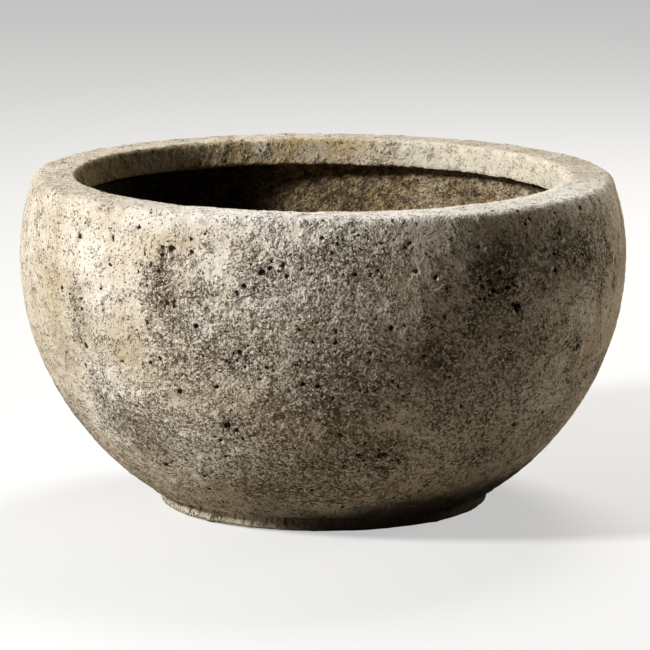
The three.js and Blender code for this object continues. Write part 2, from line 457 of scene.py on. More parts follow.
def rounded(corners, steps=5):
    """The points of a closed outline. Each corner is its two coordinates and its rounding."""
    places = [np.array(corner[:2]) for corner in corners]
    points = []
    for i, (here, (_, _, rounding)) in enumerate(zip(places, corners)):
        before, after = places[i - 1] - here, places[(i + 1) % len(places)] - here
        before, after = before / np.linalg.norm(before), after / np.linalg.norm(after)
        half = math.acos(np.clip(before @ after, -1.0, 1.0)) / 2
        if rounding == 0 or half > NEARLY_STRAIGHT:
            points.append(tuple(here))
            continue
        middle = (before + after) / np.linalg.norm(before + after)
        centre = here + middle * rounding / math.sin(half)
        start, end = here + before * rounding / math.tan(half), here + after * rounding / math.tan(half)
        turn = math.pi - 2 * half
        for share in np.linspace(0.0, 1.0, steps + 1):
            first, last = math.sin((1 - share) * turn), math.sin(share * turn)
            spoke = first * (start - centre) + last * (end - centre)
            points.append(tuple(centre + spoke / math.sin(turn)))
    return points


def turned(name, profile, steps, centre=(0.0, 0.0)):
    """A profile of (radius, height) points, turned once round an upright axis."""
    rings = []
    for radius, height in profile:
        turns = [2 * math.pi * i / steps for i in range(steps if radius > 0 else 1)]
        rings.append([(centre[0] + radius * math.cos(turn), centre[1] + radius * math.sin(turn), height)
                      for turn in turns])
    return skinned(name, rings)


print("a rounded square has", len(rounded([(0, 0, 1), (9, 0, 1), (9, 9, 1), (0, 9, 1)])), "points")

# %% [markdown]
# ## Where the weather and the mould left their marks
# A cast surface isn't evenly rough. Air gathers in patches, so the holes come in clusters, and a
# few large ones stand alone. Each mark is listed here, by its direction round the bowl
# (0 is the side that the photograph looks at, positive to its right) and its height. The dents in
# the mesh and the dark bottoms in the colour both read these lists.

# %% Marks, listed one by one
# direction in degrees, then height, radius and depth in millimetres
LARGE_HOLES = [
    (37.9, 237, 4.3, 6.0), (32.5, 257, 2.9, 4.0), (35.6, 258, 2.7, 3.6), (30.4, 249, 2.2, 3.0),
    (29.7, 270, 2.2, 3.0), (33.8, 274, 2.4, 3.0), (36.0, 266, 2.2, 3.0), (30.0, 262, 2.1, 2.6),
    (-23.6, 226, 2.6, 3.8), (-33.8, 225, 1.9, 3.0), (-29.3, 246, 2.4, 3.0), (-27.9, 249, 2.1, 2.6),
    (-28.8, 299, 3.4, 3.4), (-30.6, 292, 2.4, 2.8), (-31.2, 277, 2.1, 2.6), (-33.6, 261, 1.9, 2.6),
    (-11.0, 281, 3.5, 3.6), (-9.6, 285, 2.4, 3.0), (-7.3, 289, 2.4, 3.0), (-14.2, 268, 2.4, 3.0),
    (-15.6, 261, 2.6, 3.0), (5.9, 280, 2.2, 3.0), (8.6, 280, 1.9, 2.6), (16.9, 281, 2.1, 2.8),
    (-0.2, 314, 1.8, 2.4), (2.7, 309, 1.9, 2.4), (-52.0, 298, 2.4, 2.8), (-58.9, 310, 1.6, 2.2),
    (-31.8, 190, 2.1, 2.8), (-41.0, 181, 2.1, 2.8), (-15.4, 203, 2.4, 2.8), (-17.6, 192, 2.1, 2.6),
    (-20.6, 166, 2.4, 2.8), (-28.6, 158, 2.7, 3.0), (-19.8, 125, 3.5, 3.8), (-17.9, 121, 2.4, 3.0),
    (-55.4, 153, 2.1, 2.6), (-57.4, 137, 2.4, 2.8), (-1.0, 170, 2.4, 3.0), (12.3, 228, 2.6, 2.8),
    (2.3, 214, 2.1, 2.6), (-4.2, 227, 2.2, 2.8), (7.6, 95, 2.9, 2.8), (12.6, 94, 3.5, 3.0),
    (3.5, 118, 2.4, 2.8), (17.0, 88, 2.2, 2.4), (31.2, 124, 2.2, 2.6), (44.4, 113, 2.4, 2.8),
    (52.3, 121, 2.1, 2.6), (57.0, 185, 3.2, 3.4), (56.2, 192, 2.4, 2.8), (41.3, 316, 1.9, 2.6),
    (118.0, 236, 3.7, 4.6), (123.0, 229, 2.4, 3.0), (152.0, 186, 3.2, 4.0), (-150.0, 262, 3.5, 4.2),
    (-146.0, 251, 2.4, 3.0), (-112.0, 205, 2.9, 3.4), (178.0, 128, 3.0, 3.4), (-96.0, 290, 2.4, 3.0),
]
# direction in degrees, then height, half width and half height in millimetres
MARKS = {
    "pitted": [
        (33.6, 262, 34, 24), (-29.8, 288, 15, 20), (-30.0, 254, 13, 24), (-10.6, 281, 22, 14),
        (-50.5, 146, 18, 30), (-19.0, 126, 24, 12), (38.0, 80, 26, 14), (-15.5, 196, 40, 22),
        (6.0, 296, 46, 30), (2.0, 178, 54, 40), (52.0, 290, 36, 26), (56.0, 188, 14, 22),
        (10.0, 92, 46, 18), (-52.5, 220, 14, 40), (120.0, 232, 34, 24), (-148.0, 256, 30, 22),
        (170.0, 150, 40, 26), (-100.0, 250, 26, 34), (75.0, 150, 34, 24), (-135.0, 150, 40, 30),
    ],
    "worn": [
        (-24.0, 215, 56, 70), (-40.0, 118, 80, 44), (-2.0, 250, 84, 80), (-6.0, 110, 120, 76),
        (34.0, 180, 120, 120), (58.0, 120, 60, 60), (62.0, 270, 50, 50), (-31.0, 250, 20, 44),
        (110.0, 200, 70, 80), (180.0, 180, 160, 100), (-120.0, 130, 90, 60), (-80.0, 100, 60, 50),
    ],
    # the patches at 318 to 333 mm lie on the rim's front and right, where they are a painted highlight;
    # the others are lime bloom
    "lime_and_rim_highlight": [
        (-49.0, 282, 30, 34), (-45.5, 238, 24, 26), (-30.0, 322, 60, 12), (-22.0, 232, 24, 20),
        (57.0, 222, 26, 34), (47.0, 133, 44, 26), (-4.0, 318, 60, 14), (10.0, 333, 130, 10),
        (60.0, 333, 110, 10), (150.0, 250, 60, 40), (-125.0, 200, 60, 50), (100.0, 280, 50, 30),
        (-52.0, 112, 40, 40), (24.0, 330, 60, 9), (-14.0, 330, 60, 9), (-8.0, 264, 46, 30),
        (-20.0, 284, 24, 26), (-46.0, 152, 40, 36), (-28.0, 96, 50, 30),
    ],
    "ochre": [
        (-62.0, 240, 26, 70), (-52.0, 276, 5, 34), (-40.0, 200, 20, 40), (-31.0, 300, 30, 20),
        (-5.0, 120, 90, 34), (30.0, 60, 60, 24), (-88.0, 220, 24, 80), (140.0, 200, 30, 80),
    ],
    "umber": [
        (-31.0, 284, 11, 24), (-52.0, 297, 4, 9), (5.0, 140, 26, 18), (14.0, 104, 34, 12),
        (-6.0, 148, 40, 26), (6.0, 190, 70, 50), (2.0, 160, 60, 40), (-4.0, 48, 120, 20),
        (-44.0, 110, 34, 26), (-160.0, 80, 90, 40), (100.0, 90, 80, 34),
    ],
    "olive": [
        (13.0, 231, 17, 14), (26.0, 240, 60, 70), (40.0, 190, 50, 50), (-60.0, 200, 20, 60),
        (-50.0, 215, 40, 44), (175.0, 220, 70, 60), (-110.0, 120, 60, 40),
    ],
    "mould": [
        (37.0, 286, 46, 22), (48.0, 284, 34, 30), (34.0, 262, 26, 20), (29.0, 225, 14, 14),
        (22.0, 190, 26, 30), (-135.0, 296, 50, 24), (125.0, 150, 50, 40), (50.0, 300, 24, 16),
        (56.0, 276, 26, 24), (45.0, 258, 22, 16),
    ],
}
# direction and height of the two ends, then half the width in millimetres
SCRATCHES = [
    (-8.6, 315, -6.4, 327, 0.9), (-31.6, 253, -28.9, 262, 1.0), (-30.6, 245, -28.4, 253, 1.1),
    (-32.0, 272, -29.6, 277, 0.8), (-45.0, 218, -44.0, 232, 0.7), (-15.4, 254, -11.6, 262, 1.0),
    (-13.0, 222, -12.4, 234, 0.8), (-2.0, 232, 1.4, 238, 0.8), (6.4, 84, 14.6, 80, 1.1),
    (-30.8, 120, -25.6, 116, 0.8), (140.0, 250, 146.0, 258, 1.0), (-120.0, 190, -116.0, 200, 1.0),
    (70.0, 234, 71.5, 264, 1.4), (66.0, 250, 67.0, 290, 1.2), (74.0, 262, 74.5, 286, 1.2),
    (63.0, 226, 64.0, 246, 1.2),
]
patch_count = sum(len(patches) for patches in MARKS.values())
print(len(LARGE_HOLES), "large holes,", len(SCRATCHES), "scratches and", patch_count, "patches")


# %% From a direction and a height to a place on the wall
def on_wall(direction, height):
    """A point on the bowl's outside, from degrees round it and millimetres up."""
    radius = wall_at(height * MILLIMETRE, 0.0)[0]
    turn = math.radians(direction)
    return (radius * math.sin(turn), -radius * math.cos(turn), height * MILLIMETRE)


print("direction 0, height 253 is at", tuple(round(v, 3) for v in on_wall(0, 253)))


# %% Where on the casting a place is, for either kind of tree
def from_axis(place):
    """How far a place is from the bowl's upright axis."""
    return (place * (1.0, 1.0, 0.0)).length


def wall_measure(g, place):
    """1 on the smooth wall of the bowl, less than 1 inside it."""
    rise = place.parts[2] - BELLY_HEIGHT
    half_height = g.smooth(-SEAT_GAP, SEAT_GAP, rise) * (CROWN_RISE - HULL_DROP) + HULL_DROP
    return g.vector(from_axis(place) / BELLY_RADIUS, rise / half_height, 0.0).length


def undented(g, place):
    """The place as it lay on the smooth wall before it was dented: a hole keeps its outline there."""
    belly = (0.0, 0.0, BELLY_HEIGHT)
    measure = wall_measure(g, place)
    # the middle of the wall's thickness measures 0.94
    outside = g.smooth(0.93, 0.97, measure)
    below_rim = g.smooth(RIM_HEIGHT - 6 * MILLIMETRE, RIM_HEIGHT - 12 * MILLIMETRE, place.parts[2])
    pushed = (place - belly) * (1.0 / measure) + belly
    return place + (pushed - place) * (outside * below_rim)


print("wall measure ready")

# %% Masks over the surface
def nearness(place, direction, height, half_width, half_height):
    """How near a place is to a mark: 0 at its middle, 1 at its edge."""
    per_metre = 1.0 / MILLIMETRE
    scale = (per_metre / half_width, per_metre / half_width, per_metre / half_height)
    return ((place - on_wall(direction, height)) * scale).length


def largest_of(fields):
    """The largest of some fields, at each place."""
    return reduce(Field.largest, fields)


def patch_mask(g, place, patches):
    """1 in the middle of each patch, fading out to 0 past its edge."""
    return largest_of([g.smooth(1.5, 0.3, nearness(place, *patch)) for patch in patches])


def in_large_holes(g, place, start, end):
    """For each large hole, 0 from start on and 1 up to end, in shares of its radius, and its depth."""
    return [(g.smooth(start, end, nearness(place, direction, height, radius, radius)), depth * MILLIMETRE)
            for direction, height, radius, depth in LARGE_HOLES]


def air_holes(g, place, sizes, share, seed, edge):
    """Round holes that trapped air left, one in some of the cells of a pattern: 0 outside them and
    1 in their middles, and the radius of the hole that a place belongs to."""
    pitch, smallest, largest = [size * MILLIMETRE for size in sizes]
    distance, (chance, size, _) = g.cells(place + (seed, seed, seed), pitch)
    radius = size * size * (largest - smallest) + smallest
    return g.smooth(1.0, edge, distance * pitch / radius) * (chance < share), radius


def scratch_mask(g, place):
    """1 along the middle of each scratch and crack."""
    masks = []
    for first_direction, first_height, last_direction, last_height, half_width in SCRATCHES:
        first = Vector(on_wall(first_direction, first_height))
        along = Vector(on_wall(last_direction, last_height)) - first
        from_first = place - tuple(first)
        share = from_first.dot(tuple(along / along.length_squared)).largest(0.0).smallest(1.0)
        away = (from_first - share * tuple(along)).length
        masks.append(g.smooth(1.3 * half_width * MILLIMETRE, 0.3 * half_width * MILLIMETRE, away))
    return largest_of(masks)


print("masks ready")

# %% [markdown]
# ## Casting the bowl with Geometry Nodes
# The bowl's shape follows a rule, so a node tree makes it: the section is swept round a circle,
# the mouth is set a little off centre and the rim a little out of level, as a hand-cast bowl has
# them, and then the surface is dented. Broad, soft lumps come first, then the crumbled edges, then
# the holes. The sweep is far too dense to keep, so a Decimate modifier after it spends the
# triangles where the surface is rough and saves them where it is smooth.

# %% Holes and patches that the mesh and the material share
# the pitch of the holes, then the smallest and the largest radius, in millimetres
SINGLE_HOLES = (13.0, 1.0, 3.0)
CLUSTERED_HOLES = (5.5, 0.8, 2.2)


def shared_holes(g, place, pitted, edge):
    """The holes that are large enough for the mesh to have them: single ones, and clusters."""
    here = g.ragged(place, 4.5 * MILLIMETRE, 8 * MILLIMETRE)
    single = air_holes(g, here, SINGLE_HOLES, 0.25, 3.0, edge)
    clustered = air_holes(g, here, CLUSTERED_HOLES, pitted * 0.85 + 0.05, 11.0, edge)
    return here, single, clustered


def section_edge(g, radius, height, edge, reach):
    """1 on a sharp edge of the section, fading to 0 at reach from it."""
    return g.smooth(reach, 0.0, g.vector(radius - edge[0], height - edge[1], 0.0).length)


print("shared masks ready")

# %% The sweep: each point keeps where it lies in the section and round the circle
AROUND_STEPS = 1180


def swept_casting(g, given):
    """The section swept round the axis, with the radius, height, cosine and sine of each point."""
    position = g.out(g.node("GeometryNodeInputPosition", {}, {}))
    vectors = {"data_type": "FLOAT_VECTOR"}
    profile = g.node("GeometryNodeMeshToCurve", {}, {"Mesh": g.out(given, "Section")})
    in_section = g.node("GeometryNodeStoreNamedAttribute", vectors | {"domain": "POINT"},
                        {"Geometry": profile, "Name": "in_section", "Value": position})
    circle = g.node("GeometryNodeCurvePrimitiveCircle", {"mode": "RADIUS"},
                    {"Resolution": g.out(given, "Around Steps"), "Radius": 1.0})
    in_circle = g.node("GeometryNodeStoreNamedAttribute", vectors | {"domain": "POINT"},
                       {"Geometry": circle, "Name": "in_circle", "Value": position})
    swept = g.node("GeometryNodeCurveToMesh", {}, {"Curve": in_circle, "Profile Curve": in_section})
    outward = g.node("GeometryNodeFlipFaces", {}, {"Mesh": swept})
    section_place = g.node("GeometryNodeInputNamedAttribute", vectors, {"Name": "in_section"})
    circle_place = g.node("GeometryNodeInputNamedAttribute", vectors, {"Name": "in_circle"})
    radius, height, _ = g.out(section_place, "Attribute").parts
    cosine, sine, _ = g.out(circle_place, "Attribute").parts
    return outward, position, radius, height, cosine, sine


print("sweep of", AROUND_STEPS, "steps ready")

# %% The dents of the skin, the edges and the holes
def dents(g, given, position, radius, height, cosine, sine):
    """How far each point of the skin moves out, in metres. Nearly all of them move in."""
    lumps = g.noise(position, 30 * MILLIMETRE) - 0.7
    grit = g.noise(position, 7 * MILLIMETRE, roughness=0.6) - 0.68
    skin = lumps * g.out(given, "Lump Height") + grit * g.out(given, "Grit Height")

    # the mouth's edge is worn where the weather gets at it: at the back, to the right
    weathered = g.smooth(-0.3, 0.7, cosine * 0.6 + sine * 0.8)
    edges = [((MOUTH_RADIUS, RIM_HEIGHT), 13, weathered * 0.8 + 0.2),
             ((MOUTH_RADIUS, lip_bottom), 9, 0.5),
             ((FOOT_RADIUS, foot_bottom), 6, 0.3),
             ((FOOT_RADIUS, FOOT_LEDGE), 9, 0.6)]
    crumble = largest_of([section_edge(g, radius, height, edge, reach * MILLIMETRE) * share
                          for edge, reach, share in edges])
    bites = g.smooth(0.40, 0.70, g.noise(position, 11 * MILLIMETRE, detail=3.0, roughness=0.65))

    place = undented(g, position)
    pitted = patch_mask(g, place, MARKS["pitted"])
    here, single, clustered = shared_holes(g, place, pitted, edge=0.35)
    scratched = scratch_mask(g, g.ragged(place, 6 * MILLIMETRE, 3 * MILLIMETRE))
    large = largest_of([inside * depth for inside, depth in in_large_holes(g, here, 1.2, 0.4)])
    holes = largest_of([single[0] * single[1], clustered[0] * clustered[1] * 1.1, large,
                        scratched * (1.2 * MILLIMETRE)])

    # the foot's underside stays nearly flat, so that the pockets are cut into a clean face
    seen = g.smooth(FOOT_RADIUS - 6 * MILLIMETRE, FOOT_RADIUS - 2 * MILLIMETRE, radius)
    return (skin - crumble * bites * g.out(given, "Edge Crumble") - holes) * (seen * 0.9 + 0.1)


print("dents ready")

# %% How a tree starts and ends
def start_tree(name, geometry, numbers):
    """A tree that takes a geometry, some numbers with their usual values, and a finish."""
    g = Graph(bpy.data.node_groups.new(name, "GeometryNodeTree"))
    sockets = g.tree.interface
    sockets.new_socket(name=geometry, in_out="INPUT", socket_type="NodeSocketGeometry")
    for label, value in numbers.items():
        kind = "NodeSocketInt" if isinstance(value, int) else "NodeSocketFloat"
        sockets.new_socket(name=label, in_out="INPUT", socket_type=kind).default_value = value
    sockets.new_socket(name="Finish", in_out="INPUT", socket_type="NodeSocketMaterial")
    sockets.new_socket(name="Result", in_out="OUTPUT", socket_type="NodeSocketGeometry")
    return g, g.node("NodeGroupInput", {}, {})


def end_tree(g, given, geometry):
    """Makes the result real and gives it its finish."""
    real = g.node("GeometryNodeRealizeInstances", {}, {"Geometry": geometry})
    dressed = g.node("GeometryNodeSetMaterial", {}, {"Geometry": real, "Material": g.out(given, "Finish")})
    g.node("NodeGroupOutput", {}, {"Result": dressed})
    return g.tree


print("tree ends ready")

# %% The tree that casts the bowl
CASTING_SIZES = {
    "Around Steps": AROUND_STEPS,
    "Lump Height": 2.4 * MILLIMETRE,
    "Grit Height": 1.8 * MILLIMETRE,
    "Edge Crumble": 2.6 * MILLIMETRE,
    "Mouth Shift": -4.5 * MILLIMETRE,
    "Rim Fall": 2.6 * MILLIMETRE,
    "Swell": 2.7 * MILLIMETRE,
}


def casting_tree():
    g, given = start_tree("cast_bowl", "Section", CASTING_SIZES)
    swept, position, radius, height, cosine, sine = swept_casting(g, given)

    # hand-cast: the mouth off centre, the rim out of level, the wall not quite round
    at_mouth = g.smooth(MOUTH_RADIUS + 40 * MILLIMETRE, MOUTH_RADIUS + 8 * MILLIMETRE, radius)
    at_mouth = at_mouth * g.smooth(lip_bottom - 60 * MILLIMETRE, lip_bottom, height)
    at_rim = g.smooth(BELLY_HEIGHT, RIM_HEIGHT, height)
    round_place = g.vector(cosine * radius, sine * radius, height)
    swell = (g.noise(round_place, 190 * MILLIMETRE, detail=1.0) - 0.62) * g.out(given, "Swell")
    formed = g.vector(cosine * (radius + swell) + at_mouth * g.out(given, "Mouth Shift"),
                      sine * (radius + swell),
                      height - at_rim * g.out(given, "Rim Fall") * (cosine * 0.5 + 0.5))
    shaped = g.node("GeometryNodeSetPosition", {}, {"Geometry": swept, "Position": formed})

    facing = g.out(g.node("GeometryNodeInputNormal", {}, {}))
    pushed = facing * dents(g, given, position, radius, height, cosine, sine)
    rough = g.node("GeometryNodeSetPosition", {}, {"Geometry": shaped, "Offset": pushed})
    return end_tree(g, given, g.node("GeometryNodeSetShadeSmooth", {}, {"Geometry": rough}))


print("casting tree written")

# %% The tree that paints the marks on the thinned mesh
def painting_tree():
    """Stores on each point how strongly each kind of mark lies there, for the material to read."""
    g, given = start_tree("paint_marks", "Casting", {"Wander": 26 * MILLIMETRE})
    place = undented(g, g.out(g.node("GeometryNodeInputPosition", {}, {})))
    wandered = g.ragged(place, 30 * MILLIMETRE, g.out(given, "Wander"))
    masks = {name: patch_mask(g, wandered, patches) for name, patches in MARKS.items()}
    masks["pitted"] = patch_mask(g, place, MARKS["pitted"])
    masks["large_hole"] = largest_of([inside for inside, _ in in_large_holes(g, place, 1.9, 0.2)])
    painted = g.out(given, "Casting")
    for name, mask in masks.items():
        painted = g.node("GeometryNodeStoreNamedAttribute", {"data_type": "FLOAT", "domain": "POINT"},
                         {"Geometry": painted, "Name": name, "Value": mask})
    return end_tree(g, given, painted)


print("painting tree written")

# %% The pads, and the pockets for them
def foot_pad(node, name, grow, rise):
    """A disc over a pad's place, larger by a gap all round and higher by a rise."""
    low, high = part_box(node)
    radius = (high.x - low.x) / 2 + grow
    rounding = 0.0 if grow else 1.0 * MILLIMETRE
    return turned(name, rounded([(0.0, low.z - grow, 0.0), (radius, low.z - grow, rounding),
                                 (radius, high.z + rise, rounding / 3), (0.0, high.z + rise, 0.0)]),
                  LATHE_STEPS // 2, ((low.x + high.x) / 2, (low.y + high.y) / 2))


pad_nodes = sorted(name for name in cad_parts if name.startswith("foot_pad"))
print("pads:", ", ".join(pad_nodes))

# %% Cast the bowl, thin it, cut the pockets and keep the plain mesh
FINISHED_TRIANGLES = 194_000


def cast_bowl(finish):
    count = len(section)
    mesh = bpy.data.meshes.new("casting_section")
    mesh.from_pydata([(radius, height, 0.0) for radius, height in section],
                     [(i, (i + 1) % count) for i in range(count)], [])
    source = new_object("casting_section", mesh)
    cast = source.modifiers.new("cast", "NODES")
    cast.node_group = casting_tree()
    set_input(cast, "Finish", finish)
    thin = source.modifiers.new("thin", "DECIMATE")
    thin.ratio = FINISHED_TRIANGLES / (2 * count * AROUND_STEPS)
    pockets = [foot_pad(node, node + "_pocket", SEAT_GAP, SEAT_GAP) for node in pad_nodes]
    for pocket in pockets:
        cut_or_join(source, pocket, "DIFFERENCE")
    paint = source.modifiers.new("paint", "NODES")
    paint.node_group = painting_tree()
    set_input(paint, "Finish", finish)
    bowl = finished(source, "bowl_casting")
    for pocket in pockets:
        bpy.data.objects.remove(pocket)
    return bowl


concrete = bpy.data.materials.new("weathered_concrete")
bowl = cast_bowl(concrete)
print("bowl:", round(signed_volume(bowl.data), 2), "litres,", len(bowl.data.loop_triangles), "triangles")

# %% The casting stands for the CAD bowl
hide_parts("bowl_shell")
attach(bowl, "planter")
print("bowl stands for the CAD bowl")

# %% [markdown]
# ## Weathered concrete
# The real surface is sand and cement, rubbed and washed: a pale cream skin that is peppered with
# pinholes, darker where soil has stained it, and darkened with painted shade at the foot, inside
# and in the hollows. An image wrapped round it would stretch and show its seam, so the finish is a
# formula of the place. Two kinds of colour come first: the cement and its sand, and the stains with
# how strong and how frayed each is.

# %% Colours of the concrete
def colour(red, green, blue):
    """A colour as a screen shows it (0 to 255), in the linear numbers that the shader takes."""
    def linear(value):
        value /= 255.0
        return value / 12.92 if value <= 0.04045 else ((value + 0.055) / 1.055) ** 2.4
    return (linear(red), linear(green), linear(blue), 1.0)


CREAM = colour(217, 207, 190)
TAN = colour(192, 179, 158)
SAND_LIGHT = colour(248, 242, 230)
SAND_DARK = colour(116, 91, 63)
# dirt and painted shade, for the gaps between grains and for the bottoms of the holes
GAP_DIRT_AND_SHADE = colour(82, 59, 38)
PIT_DIRT_AND_SHADE = colour(26, 20, 15)
SOIL = colour(192, 166, 122)
SOIL_DARK = colour(104, 83, 58)
# painted shade for the inside's left and its lower part, which lie in shade
INSIDE_SHADE = colour(30, 24, 18)
PLASTER = colour(236, 218, 182)
LIP_OCHRE = colour(190, 164, 112)
# the olive of the lip's left face is darkened as painted shade: that face lies in shade
LIP_OLIVE_SHADE = colour(104, 95, 68)
LIP_CREAM = colour(248, 237, 213)
# painted shade along the foot where it meets the floor, near black, higher on the right
FOOT_SHADE = colour(40, 33, 26)
# each stain's colour, how strong it is, and how much of it noise frays
STAINS = {
    # lime bloom, and on the rim's front and right a painted highlight in the same colour
    "lime_and_rim_highlight": (colour(244, 239, 230), 0.65, 0.5),
    "ochre": (colour(184, 163, 126), 0.55, 0.6),
    "olive": (colour(142, 131, 106), 0.35, 0.6),
    "umber": (colour(112, 88, 62), 0.66, 0.6),
    "mould": (colour(54, 46, 34), 0.90, 0.75),
}
print("cream is", [round(v, 3) for v in CREAM[:3]], "and the stains are", ", ".join(STAINS))


# %% The inside and the lip
def casting_zones(g, place):
    """1 on the inside below the lip, and 1 on the lip's own face."""
    below_lip = g.smooth(lip_bottom + 1 * MILLIMETRE, lip_bottom - 3 * MILLIMETRE, place.parts[2])
    inside = g.smooth(0.95, 0.93, wall_measure(g, place)) * below_lip
    on_lip = g.smooth(MOUTH_RADIUS + 9 * MILLIMETRE, MOUTH_RADIUS + 5 * MILLIMETRE, from_axis(place))
    return inside, on_lip * (1.0 - inside) * g.smooth(BELLY_HEIGHT, lip_bottom, place.parts[2])


print("zones ready")

# %% [markdown]
# ## The skin's relief
# Where the cement skin has worn away, sand and gravel stand out, and between them lie gaps and
# air holes. All of it is too fine for the mesh, so it is a bump: cells are the grains of sand,
# cloudy noise is the gravel and the trowelled inside, and four sizes of air holes are bored in
# besides the large ones. The same patterns go on to colour the surface, so that each dark speck
# lies in a real hollow.

# %% Where the skin is worn, and the sand that shows there
# about how far across each pattern's grains or patches are
SAND_SIZE = 1.9 * MILLIMETRE
GRAVEL_SIZE = 4.4 * MILLIMETRE
PLASTER_SIZE = 8.0 * MILLIMETRE
CLUMP_SIZE = 15.0 * MILLIMETRE
MOTTLE_SIZE = 40.0 * MILLIMETRE


def attribute(g, name):
    """What the painting tree stored under a name."""
    return g.out(g.node("ShaderNodeAttribute", {"attribute_name": name}, {}), "Fac")


def worn_skin(g):
    """The patterns that the relief and the colours share, by name."""
    here = g.on_object()
    place = undented(g, here)
    aside, behind, height = place.parts
    inside, on_lip = casting_zones(g, here)
    pitted = attribute(g, "pitted")
    low = g.smooth(140 * MILLIMETRE, 50 * MILLIMETRE, height) * (1.0 - inside)
    clumps = (g.noise(place, CLUMP_SIZE, detail=3.0, roughness=0.6) - 0.5) * 2.2
    wear = attribute(g, "worn") * 0.62 + pitted * 0.4 + inside * 0.3 + low * 0.3 + clumps + 0.1
    rough = g.smooth(0.0, 1.0, wear)
    broken = g.smooth(0.38, 0.58, g.noise(place, 7 * MILLIMETRE, detail=4.0, roughness=0.7))

    # each grain of sand is a cell with its own height and shade, and some have fallen out
    distance, (shade, chance, _) = g.cells(g.ragged(place, 1.5 * MILLIMETRE, 1.5 * MILLIMETRE), SAND_SIZE)
    dome = 1.0 - distance
    fallen = chance < (rough * 0.2 + 0.03) * (broken * 1.2 + 0.4) * (1.0 - inside * 0.7)
    gravel = g.noise(place, GRAVEL_SIZE, detail=4.0, roughness=0.7)
    gaps = g.smooth(0.01, -0.04, gravel + (dome - 0.5) * 0.15 - (rough * 0.085 + 0.355))
    return SimpleNamespace(
        place=place, aside=aside, behind=behind, height=height, inside=inside, on_lip=on_lip,
        # the lip's left face lies in shade: the dark olive put there is painted shade
        lip_left_shade=on_lip * g.smooth(-0.08, -0.20, aside), lip_right=on_lip * g.smooth(0.0, 0.12, aside),
        pitted=pitted, rough=rough, broken=broken, dome=dome, shade=shade, fallen=fallen,
        gravel=gravel, gaps=gaps * (1.0 - inside * 0.6),
        plaster=g.noise(place, PLASTER_SIZE, detail=3.0, roughness=0.6),
        mottle=g.noise(place, MOTTLE_SIZE, detail=6.0, roughness=0.65))


print("sand:", round(SAND_SIZE / MILLIMETRE, 1), "mm; gravel:", round(GRAVEL_SIZE / MILLIMETRE, 1), "mm")

# %% Holes, from the large ones that the mesh has too down to the pinholes
# the pitch of the holes, then the smallest and the largest radius, in millimetres
SMALL_HOLES = (4.6, 0.8, 1.8)
PINHOLES = (2.4, 0.5, 1.0)


def bore_holes(g, skin):
    """Adds the holes to the skin's patterns."""
    _, single, clustered = shared_holes(g, skin.place, skin.pitted, edge=0.8)
    near = g.ragged(skin.place, 2.4 * MILLIMETRE, 4 * MILLIMETRE)
    skin.small, small_radius = air_holes(g, near, SMALL_HOLES, skin.rough * 0.45 + 0.08, 7.0, 0.75)
    skin.pin, pin_radius = air_holes(g, near, PINHOLES, skin.rough * 0.35 + 0.45, 23.0, 0.7)
    skin.bored = skin.small * small_radius + skin.pin * pin_radius
    skin.scratches = scratch_mask(g, g.ragged(skin.place, 5 * MILLIMETRE, 4 * MILLIMETRE))
    large = attribute(g, "large_hole")
    frayed = (g.noise(skin.place, 3 * MILLIMETRE, detail=3.0, roughness=0.6) - 0.5) * 2.8
    large = g.smooth(0.42, 0.58, large + frayed * large)
    crumbs = g.noise(skin.place, 4.5 * MILLIMETRE, detail=4.0, roughness=0.7)
    skin.eaten = g.smooth(0.0, -0.05, crumbs - skin.pitted * 0.14 - 0.30)
    skin.hollow = largest_of([single[0], clustered[0], large])


def relief(skin):
    """How far the surface stands out, in metres: sand, gravel and plaster, less what is missing."""
    sand = (skin.dome * (1.0 * MILLIMETRE) + skin.shade * (0.6 * MILLIMETRE)) * (skin.rough * 0.8 + 0.35)
    gravel = skin.gravel * (skin.rough * (5.5 * MILLIMETRE) + skin.inside * (3.0 * MILLIMETRE)
                            + 1.1 * MILLIMETRE)
    plaster = skin.plaster * skin.inside * (13.0 * MILLIMETRE)
    missing = skin.gaps + skin.fallen + largest_of([skin.hollow, skin.scratches, skin.eaten])
    return sand + gravel + plaster - skin.bored - missing * (0.8 * MILLIMETRE)


print("small holes and pinholes ready")

# %% [markdown]
# ## The skin's colours
# A weathered surface gets its colours in turn: the cement, what stained it, a painted highlight on
# the rim, the soil inside with painted shade at its left and low down, and last the grains, painted
# shade along the foot, and the dirt and painted shade in every hollow. The shader repeats that
# order, as coats laid over each other, and each coat is a mask and a colour.

# %% The cement, its stains, the lip and the rim
def coated(g, base, coats):
    """A colour with coats over it, in turn: each is how much there is of it, and its colour."""
    for amount, coat in coats:
        base = g.mix(amount, base, coat)
    return base


def stained(g, skin):
    """Cream and tan cement, with the stains that noise frays."""
    cement = g.mix(g.smooth(0.36, 0.66, skin.mottle), CREAM, TAN)
    return coated(g, cement, [(attribute(g, name) * (skin.broken * fray + (1.0 - fray)) * strength, stain)
                              for name, (stain, strength, fray) in STAINS.items()])


